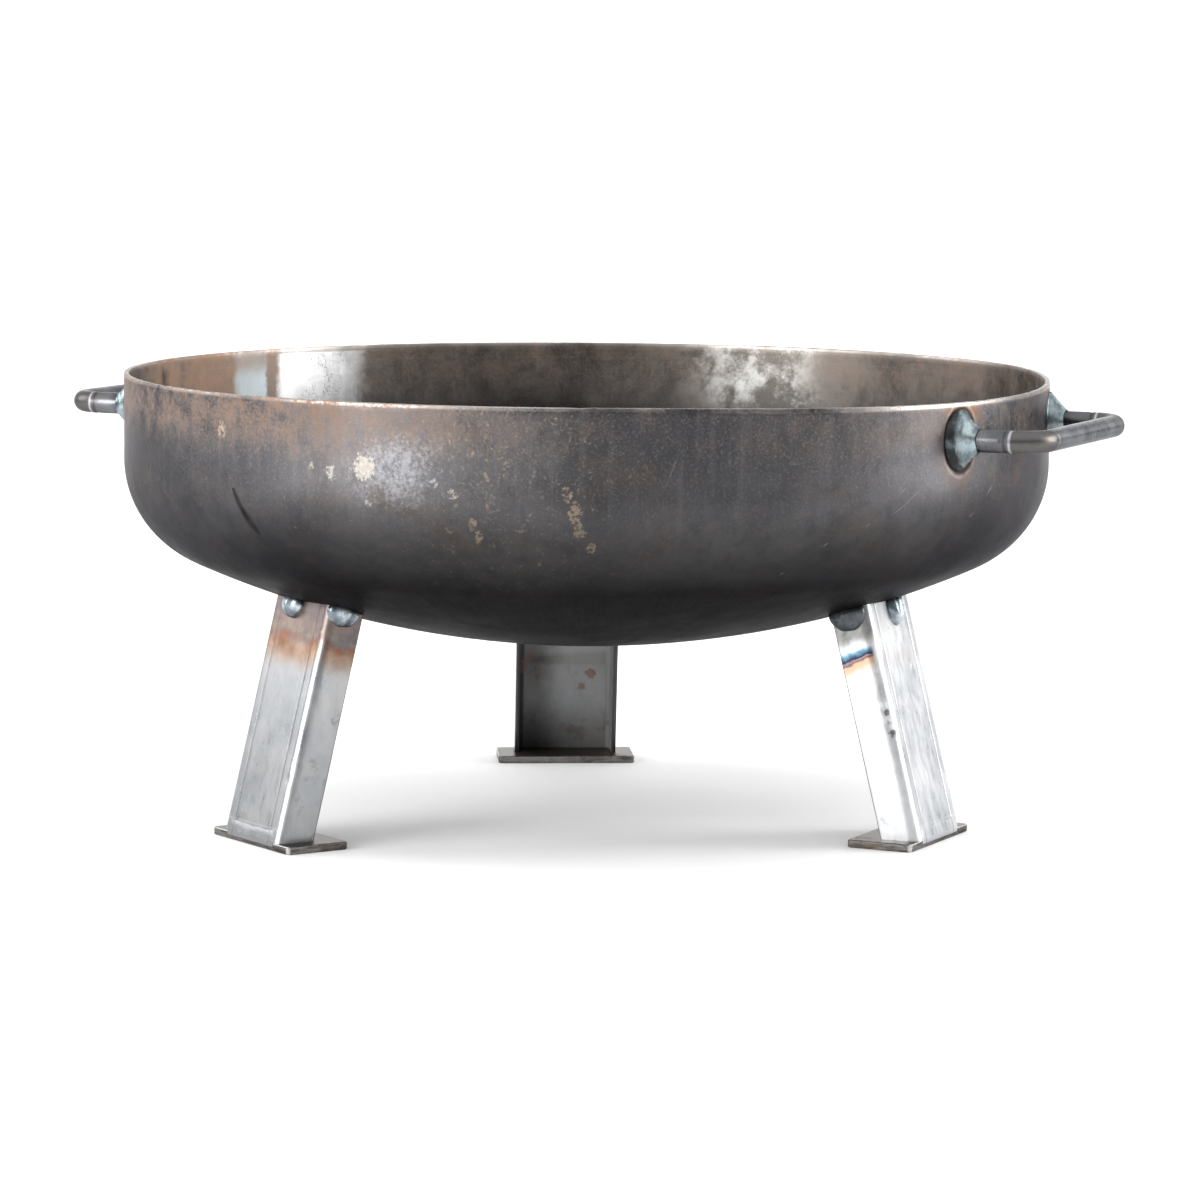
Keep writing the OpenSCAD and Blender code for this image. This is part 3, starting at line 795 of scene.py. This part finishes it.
def legHeat(p, place, look, tone, web, flange, clouds):
    fromCrown = p.apart(place, (0.0, 0.0, crownZ)) - bowl["crown"]
    wavy = p.cloud(p.shift(place, (look["seed"], 0.0, 1.0)), 38.0, 3.0, 0.5)
    frayed = p.cloud(p.shift(place, (look["seed"], 2.0, 0.0)), 160.0, 5.0, 0.7)
    mixed = clouds + (frayed - 0.5) * 0.5
    gap = fromCrown + (wavy - 0.5) * 0.011 + (frayed - 0.5) * 0.006 - look["lower"]
    heat = p.maths("MAXIMUM", flange, web * look["webHeat"])
    scale = 1 - p.rise(gap, look["topEnd"] - 0.009, look["topEnd"])
    scale = scale * (look["top"] - web * (look["top"] - look["webTop"]))
    film = (0.085, 0.066, 0.066), (0.20, 0.135, 0.112)
    if look["burnt"] == 1.0:
        film = (0.045, 0.047, 0.043), (0.21, 0.205, 0.185)
    tone = p.blend(scale * 0.85, tone, p.blend(p.rise(mixed, 0.3, 0.7), *film))
    straw = p.rise(gap, 0.022, 0.027) * (1 - p.rise(gap, 0.028, 0.046 - 0.010 * look["burnt"]))
    tone = p.blend(straw * look["straw"] * heat * 0.80, tone, tint((0.66, 0.35, 0.13), look["tone"]))
    rusty = p.rise(gap, 0.018, 0.024) * (1 - p.rise(gap, 0.027, 0.040)) * p.rise(mixed, 0.34, 0.62)
    rustTone = p.blend(p.rise(frayed, 0.36, 0.64), (0.105, 0.040, 0.022), (0.21, 0.098, 0.052))
    tone = p.blend(rusty * look["rust"] * heat * 0.92, tone, rustTone)
    lime = p.band(gap, 0.0185, 0.0035) * look["rust"] * heat
    tone = p.blend(lime * 0.30 * p.rise(frayed, 0.40, 0.60), tone, (0.30, 0.29, 0.15))
    plum = p.band(gap, 0.0255, 0.0016) * look["blue"] * flange
    tone = p.blend(plum * 0.85, tone, (0.14, 0.035, 0.06))
    blue = p.rise(gap, 0.0175, 0.0205) * (1 - p.rise(gap, 0.0238, 0.0252)) * look["blue"] * flange
    blueTone = p.blend(p.rise(gap, 0.0188, 0.0238), (0.22, 0.44, 0.54), (0.003, 0.016, 0.075))
    return p.blend(blue * 0.95, tone, blueTone), scale


def legInside(p, place, moved, look, mottle, inside, tone):
    tone = p.blend(inside * 0.72, tone, p.blend(mottle, (0.125, 0.122, 0.118), (0.215, 0.208, 0.200)))
    # the inside of the channel darkens towards one flange
    insideDarkSide = p.rise(p.parts(place)[1] + (mottle - 0.5) * 0.010, -0.002, 0.022) * inside
    tone = p.blend(insideDarkSide * 0.88, tone, (0.012, 0.011, 0.010))
    dots = p.rise(p.cloud(moved, 95.0, 4.0, 0.58), 0.55, 0.63) * p.rise(p.cloud(moved, 20.0, 3.0), 0.44, 0.54)
    tone = p.blend(dots * inside * 0.5, tone, (0.15, 0.070, 0.045))
    rustTone = p.blend(mottle, (0.09, 0.045, 0.030), (0.25, 0.125, 0.070))
    for across, at, size in look["spots"]:
        spot = p.ragged(place, tuple(legPoint(across, -leg["wall"], at)), size, mottle)
        tone = p.blend(spot * inside * 0.85, tone, rustTone)
    return tone


def legNicks(p, place, look, mottle, tone):
    for across, at, size in leg["nicks"]:
        spot = tuple(legPoint(across, -0.0020, at))
        nick = p.ragged(place, spot, size, mottle) * look["nick"]
        tone = p.blend(nick * 0.75, tone, (0.055, 0.052, 0.050))
    return tone


def legMaterial(name, look):
    p = Paint("channelSteel." + name)
    place = p.place()
    moved = p.shift(place, (look["seed"], -look["seed"], 0.3 * look["seed"]))
    y, z = p.parts(place)[1:]
    depth = p.dot(p.shift(place, tuple(-legFoot)), tuple(legOut))
    web, flange, inside = legFaces(p, depth, y)
    clouds = p.cloud(moved, 26.0, 5.0, 0.62)
    rolled = p.cloud(p.stretch(moved, (1.0, 1.0, 0.10)), 240.0, 4.0, 0.6)
    fine = p.cloud(moved, 900.0, 3.0, 0.6)
    mottle = p.cloud(moved, 110.0, 5.0, 0.7)
    # painted light and shade: the leg's tone level, and the web's darker tint below, stand in for how the
    # light falls on this leg
    low, high = tint((0.80, 0.83, 0.87), look["tone"]), tint((1.0, 1.0, 1.0), look["tone"])
    tone = p.blend(p.rise(clouds, 0.35, 0.66), low, high)
    tone = p.blend(p.rise(rolled, 0.50, 0.74) * 0.30, tone, tint(low, 0.70))
    tone = p.blend(p.rise(mottle, 0.52, 0.72) * 0.25, tone, tint(low, 0.62))
    tone = p.blend(web * 0.6, tone, tint(low, look["webShade"]))
    lines = p.band(p.maths("ABSOLUTE", y), leg["line"], 0.0010) * web
    tone = p.blend(lines * (p.rise(rolled, 0.25, 0.6) * 0.5 + 0.35), tone, (0.16, 0.16, 0.17))

    smudge = p.rise(p.cloud(p.shift(moved, (0.0, 1.0, 2.0)), 60.0, 5.0, 0.7, 0.8), 0.59, 0.70)
    tone = p.blend(smudge * 0.50, tone, (0.20, 0.19, 0.185))
    tone = legInside(p, place, moved, look, mottle, inside, tone)
    cut = 1 - p.rise(depth, 0.0003 - leg["depth"], 0.0010 - leg["depth"])
    tone = p.blend(cut * 0.85, tone, (0.035, 0.033, 0.032))
    tone, scale = legHeat(p, place, look, tone, web, flange, clouds)
    ground = p.band(z, leg["plate"] + 0.0085, 0.0010) * web
    tone = p.blend(ground * 0.14, tone, (0.80, 0.80, 0.80))
    tone = legNicks(p, place, look, mottle, tone)

    rough = 0.33 + (rolled - 0.5) * 0.30 + (clouds - 0.5) * 0.20
    rough = rough + inside * 0.26 + scale * 0.06 + smudge * 0.12
    metal = p.maths("MAXIMUM", 1.0 - inside * 0.45 - scale * 0.1, 0.2)
    normal = p.bump(rolled + fine * 0.4, 0.10, 0.0003)
    normal = p.bump(clouds, 0.10, 0.003, normal)
    return p.finish(tone, p.maths("MAXIMUM", rough, 0.18), metal, normal)


bead = {"rings": 30, "sides": 48}


def beadShape(centre, along, outward, size, seed):
    along, outward = along.normalized(), outward.normalized()
    down = along.cross(outward)
    if down.z > 0:
        down = -down
    rings = []
    for i in range(bead["rings"] + 1):
        a = math.pi * i / bead["rings"]
        ring = []
        for k in range(bead["sides"]):
            b = 2 * math.pi * k / bead["sides"]
            direction = (math.cos(a), math.sin(a) * math.cos(b), math.sin(a) * math.sin(b))
            crescent = 0.00018 * math.cos(9.5 * direction[0] + 2.2 * direction[1] ** 2 + seed)
            swell = 1 + 0.06 * wobble(*(1.4 * d for d in direction), seed) - 0.03
            local = [d * s * swell + d * crescent for d, s in zip(direction, size)]
            point = centre + along * local[0] + outward * local[1] + down * local[2]
            fromCrown = point - Vector((0, 0, crownZ))
            if fromCrown.length < bowl["crown"] - 0.001:
                point = Vector((0, 0, crownZ)) + fromCrown.normalized() * (bowl["crown"] - 0.001)
            ring.append(point)
        rings.append(ring)
    return loft(rings)


def beadOxide(look):
    def darkening(p, place):
        y = p.parts(place)[1]
        front = 1 - p.rise(y, -0.0335, -0.0300)
        grime = p.rise(p.cloud(p.shift(place, (look["seed"], 0.0, 0.0)), 120.0, 4.0), 0.54, 0.66)
        root = 1 - p.rise(p.apart(place, (0.0, 0.0, crownZ)) - bowl["crown"], 0.0005, 0.0028)
        return p.maths("MINIMUM", front * look["burnt"] * 0.9 + grime * 0.35 + root * 0.75, 1.0)
    return darkening


def legBeads(look):
    half, seed = leg["width"] / 2, look["seed"]
    webTop = legPoint(0.0, 0.0, 1.0)
    webPlace = webTop + Vector((0.001, look["webAt"][0], -look["webAt"][1]))
    parts = [beadShape(webPlace, Vector((0, 1, 0)), legOut, look["web"], seed)]
    for end in (-1, 1):
        top = legPoint(end * half, -leg["depth"] * 0.52, 1.0)
        lean = math.asin(top.x / bowl["crown"])
        slope = Vector((math.cos(lean), 0, math.sin(lean)))
        if end == look["near"]:
            place = top + legOut * look["flangeAt"][0] + Vector((0, end * 0.0008, -look["flangeAt"][1]))
            size = look["flange"]
        else:
            place, size = top, (0.0085, 0.0026, 0.0060)
        parts.append(beadShape(place, slope, Vector((0, end, 0)), size, seed + 2 * end))
    return gather(parts)


footStrip = {"height": 0.0082, "bulge": 0.00022, "columns": 48, "rows": 8}


def footStripShape(seed):
    flat = leg["width"] / 2 - leg["fold"]
    skins = []
    for out in (1, 0):
        rows = []
        for j in range(footStrip["rows"] + 1):
            v = j / footStrip["rows"]
            row = []
            for i in range(footStrip["columns"] + 1):
                across = -flat + 2 * flat * i / footStrip["columns"]
                top = footStrip["height"] * (1 + 0.12 * wobble(across * 90, 0, 0, seed)) * 0.92
                edge = smoothStep(0, 0.08, v) * smoothStep(1, 0.75, v)
                edge *= smoothStep(0, 0.06, i / footStrip["columns"])
                edge *= smoothStep(1, 0.94, i / footStrip["columns"])
                proud = footStrip["bulge"] * edge * (0.8 + 0.2 * wobble(across * 300, v * 4, 0, seed))
                low = Vector((leg["reach"], across, leg["plate"] * 0.55))
                knee = Vector((leg["reach"], across, leg["plate"]))
                high = legFoot + legUp * top + Vector((0, across, 0))
                point = low.lerp(knee, v / 0.25) if v < 0.25 else knee.lerp(high, (v - 0.25) / 0.75)
                point = point + Vector((proud if out else -0.0003, 0, 0))
                row.append(point)
            rows.append(row)
        skins.append(rows)
    outer, inner = skins
    wrapped = [outerRow + innerRow[::-1] for outerRow, innerRow in zip(outer, inner)]
    return loft(wrapped, capped=True)


foot = {"width": 0.095, "depth": leg["depth"] / math.cos(splay) + 0.018, "corner": 0.0022, "chamfer": 0.0006}


def footShape(seed):
    half, r = foot["width"] / 2, foot["corner"]
    inner, outer = leg["reach"] - foot["depth"], leg["reach"]
    rings = []
    levels = [(0.0, foot["chamfer"]), (foot["chamfer"], 0.0)]
    levels += [(leg["plate"] * k / 5, 0.0) for k in (1.5, 2.5, 3.5)]
    levels += [(leg["plate"] - foot["chamfer"], 0.0), (leg["plate"], foot["chamfer"])]
    for z, inset in levels:
        ring = []
        for cx, cy, start in ((outer - r, half - r, 0), (inner + r, half - r, 90),
                              (inner + r, r - half, 180), (outer - r, r - half, 270)):
            ring += arcPoints((cx, cy), r - inset, start, start + 90, 4)
        dense = []
        for i, a in enumerate(ring):
            b = ring[(i + 1) % len(ring)]
            pieces = max(1, int(math.dist(a, b) / 0.004))
            dense += [(a[0] + (b[0] - a[0]) * k / pieces, a[1] + (b[1] - a[1]) * k / pieces)
                      for k in range(pieces)]
        centreX = (inner + outer) / 2
        shrink = [1 - 0.004 * (0.5 + 0.5 * wobble(a * 80, b * 80, z * 120, seed)) for a, b in dense]
        rings.append([(centreX + (a - centreX) * s, b * s, z) for (a, b), s in zip(dense, shrink)])
    return loft(rings, capped=True)


def plateMaterial():
    p = Paint("plateSteel")
    place = p.place()
    x, y, z = p.parts(place)
    clouds = p.cloud(place, 30.0, 5.0, 0.62)
    fine = p.cloud(place, 420.0, 4.0, 0.65)
    sheared = p.cloud(p.stretch(place, (0.5, 0.5, 3.0)), 110.0, 4.0, 0.6)
    tone = p.blend(p.rise(clouds, 0.36, 0.66), (0.060, 0.051, 0.046), (0.13, 0.112, 0.100))
    tone = p.blend(p.rise(fine, 0.54, 0.72) * 0.35, tone, (0.19, 0.17, 0.155))
    half = foot["width"] / 2
    side = p.rise(p.maths("ABSOLUTE", y), half - 0.0007, half - 0.0003)
    front = p.rise(x, leg["reach"] - 0.0007, leg["reach"] - 0.0003)
    back = 1 - p.rise(x, leg["reach"] - foot["depth"] + 0.0003, leg["reach"] - foot["depth"] + 0.0007)
    cut = p.maths("MINIMUM", side + front + back, 1.0)
    tone = p.blend(cut * p.rise(sheared, 0.36, 0.62) * 0.55, tone, (0.34, 0.33, 0.32))
    # painted highlight on the plate's front vertical corners and along the top edge of its cut sides
    corner = p.rise(p.maths("ABSOLUTE", y), half - 0.0030, half - 0.0012)
    corner = corner * p.rise(x, leg["reach"] - 0.0028, leg["reach"] - 0.0012)
    lip = p.rise(z, leg["plate"] - 0.0009, leg["plate"] - 0.0004) * cut
    tone = p.blend(p.maths("MAXIMUM", corner, lip) * 0.75, tone, (0.70, 0.69, 0.68))
    rust = p.rise(p.cloud(p.shift(place, (0.0, 2.0, 1.0)), 60.0, 5.0, 0.66), 0.58, 0.68)
    tone = p.blend(rust * 0.5, tone, (0.17, 0.085, 0.045))
    rough = 0.36 + (fine - 0.5) * 0.25 + (clouds - 0.5) * 0.2 - cut * 0.06 + rust * 0.2
    normal = p.bump(fine, 0.10, 0.0003)
    normal = p.bump(sheared, 0.12, 0.0006, normal)
    rough = p.maths("MAXIMUM", rough, 0.2)
    return p.finish(tone, rough, 0.94 - rust * 0.5, normal, Specular_Tint=(0.6, 0.6, 0.6))


plateSteel = plateMaterial()
for name, turn in leg["angles"].items():
    look = legLooks[name]
    steel = legMaterial(name, look)
    beadSteel = weldMaterial("legWeldMetal." + name, (0.17, 0.20, 0.225), (0.50, 0.56, 0.61),
                             beadOxide(look), 0.07)
    for label, shape, finish, slot, node, sharp in (
            ("legChannel", legShape(look["dents"]), steel, "leg_steel", f"leg_{name}", 35),
            ("legWelds", legBeads(look), beadSteel, "weld_metal", f"leg_{name}_welds", 60),
            ("footPlate", footShape(look["seed"]), plateSteel, "plate_steel", f"foot_{name}", 35),
            ("footWeld", footStripShape(look["seed"]), steel, "leg_steel", f"foot_{name}_weld", 60)):
        makePiece(f"{label}.{name}", shape, finish, bowlBody, [node], turn, sharp)
print("legs, feet and welds made")


# the grate keeps its own bars and gets spots of weld where they cross
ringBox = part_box("grate_ring")
grate = {"bar": ringBox[1].z - ringBox[0].z, "bars": 11, "bearer": 0.080, "spot": 0.0042}
grate["ring"] = ringBox[1].x - grate["bar"] / 2
grate["level"] = (ringBox[1].z + ringBox[0].z) / 2


def grateMaterial():
    p = Paint("sootyGrate")
    place = p.place()
    clouds = p.cloud(place, 30.0, 5.0, 0.65)
    fine = p.cloud(place, 380.0, 4.0, 0.7)
    flake = p.cells(place, 140.0)
    tone = p.blend(p.rise(clouds, 0.38, 0.64), (0.050, 0.044, 0.041), (0.095, 0.078, 0.066))
    tone = p.blend(p.rise(fine, 0.55, 0.70) * 0.5, tone, (0.17, 0.095, 0.055))
    tone = p.blend(p.rise(flake, 0.42, 0.60) * p.rise(clouds, 0.50, 0.62) * 0.5, tone, (0.15, 0.14, 0.14))
    top = p.rise(p.cloud(place, 85.0, 4.0, 0.7), 0.56, 0.68)
    tone = p.blend(top * 0.45, tone, (0.26, 0.24, 0.22))
    rough = 0.58 + (fine - 0.5) * 0.3 + (clouds - 0.5) * 0.2
    normal = p.bump(fine, 0.35, 0.0005)
    normal = p.bump(flake, 0.12, 0.0006, normal)
    return p.finish(tone, p.maths("MAXIMUM", rough, 0.3), 0.75, normal)


def spotShape(x, y, z, seed):
    rings = []
    for i in range(7):
        a = math.pi * i / 6
        ring = []
        for k in range(12):
            b = 2 * math.pi * k / 12
            d = (math.sin(a) * math.cos(b), math.sin(a) * math.sin(b), math.cos(a))
            size = grate["spot"] * (1 + 0.25 * wobble(*(2 * v for v in d), seed))
            ring.append((x + d[0] * size, y + d[1] * size, z + d[2] * size * 0.62))
        rings.append(ring)
    return loft(rings)


def grateSpots():
    parts = []
    pitch = 2 * grate["ring"] / (grate["bars"] + 1)
    joint = grate["level"] + grate["bar"] * 0.48
    for i in range(1, grate["bars"] + 1):
        y = (i - (grate["bars"] + 1) / 2) * pitch
        edge = math.sqrt(grate["ring"] ** 2 - y * y)
        for at in (-edge, -grate["bearer"], grate["bearer"], edge):
            for side in (-1, 1):
                parts.append(spotShape(at * 0.999, y + side * 0.0036, joint, i + at * 40 + side))
    return gather(parts)


grateSteel = grateMaterial()
for name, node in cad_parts.items():
    if name.startswith("grate"):
        node.data.materials[0] = grateSteel
makePiece("grateWeldSpots", grateSpots(), grateSteel, grateBody, (), 0.0, 60)
print("grate dressed")


# pale floor, soft boxes and a sky that is brighter overhead
studio = {"floor": 9.0, "back": 7.0, "sweep": 2.5, "top": 7.0}


def makeFloor():
    heading = Matrix.Rotation(math.radians(view["heading"]), 4, "Z")
    line = [(-studio["floor"], 0.0), (studio["back"], 0.0)]
    line += [(studio["back"] + a, studio["sweep"] + b)
             for a, b in arcPoints((0, 0), studio["sweep"], -90, 0, 16)][1:]
    line.append((studio["back"] + studio["sweep"], studio["top"]))
    rows = [[heading @ Vector((side * studio["floor"], a, b)) for a, b in line] for side in (-1, 1)]
    mesh = bpy.data.meshes.new("paleFloor")
    points, faces = loft(rows, closed=False)
    mesh.from_pydata([tuple(v) for v in points], [], faces)
    mesh.shade_smooth()
    p = Paint("paleFloor")
    grain = p.cloud(p.place(), 3.0, 3.0)
    tone = p.blend(grain, (0.86, 0.86, 0.86), (0.88, 0.88, 0.88))
    mesh.materials.append(p.finish(tone, 0.75, 0.0, p.bump(grain, 0.02, 0.001), Specular_IOR_Level=0.1))
    floor = bpy.data.objects.new("paleFloor", mesh)
    bpy.context.scene.collection.objects.link(floor)


def makeLight(name, around, up, distance, size, watts, aim=(0, 0, 0.2)):
    data = bpy.data.lights.new(name, "AREA")
    data.shape, data.size, data.size_y, data.energy = "RECTANGLE", size[0], size[1], watts
    lamp = bpy.data.objects.new(name, data)
    a, e = math.radians(around + view["heading"]), math.radians(up)
    lamp.location = Vector((math.cos(a) * math.cos(e), math.sin(a) * math.cos(e), math.sin(e))) * distance
    lamp.rotation_euler = (Vector(aim) - lamp.location).to_track_quat("-Z", "Y").to_euler()
    bpy.context.scene.collection.objects.link(lamp)


air = {"low": 0.30, "high": 1.55, "start": 0.22, "full": 0.62}


def makeAir():
    world = bpy.data.worlds.new("studioAir")
    p = Paint("studioAir", world)
    upward = p.parts(p.add("TexCoord", out="Generated"))[2]
    level = p.add("MapRange", {"interpolation_type": "SMOOTHSTEP"},
                  {"Value": upward, "From Min": air["start"], "From Max": air["full"],
                   "To Min": air["low"], "To Max": air["high"]})
    sky = p.add("Background", inputs={"Color": (1.0, 1.0, 1.0), "Strength": level})
    p.add("OutputWorld", inputs={"Surface": sky})
    bpy.context.scene.world = world


def makeStudio():
    makeFloor()
    makeAir()
    makeLight("leftBox", 214, 18, 3.2, (1.7, 1.4), 75)
    makeLight("rightBox", 4, 18, 3.0, (1.3, 1.4), 69)
    makeLight("sideBox", 160, 22, 3.2, (1.6, 1.4), 35)
    makeLight("farBox", 33, 20, 3.2, (1.2, 1.2), 12)
    makeLight("wallWash", 90, 38, 6.6, (9.0, 1.5), 650, (-5.0, 11.0, 2.0))
    bpy.context.scene.view_settings.view_transform = "Standard"


makeStudio()
print("studio lit")
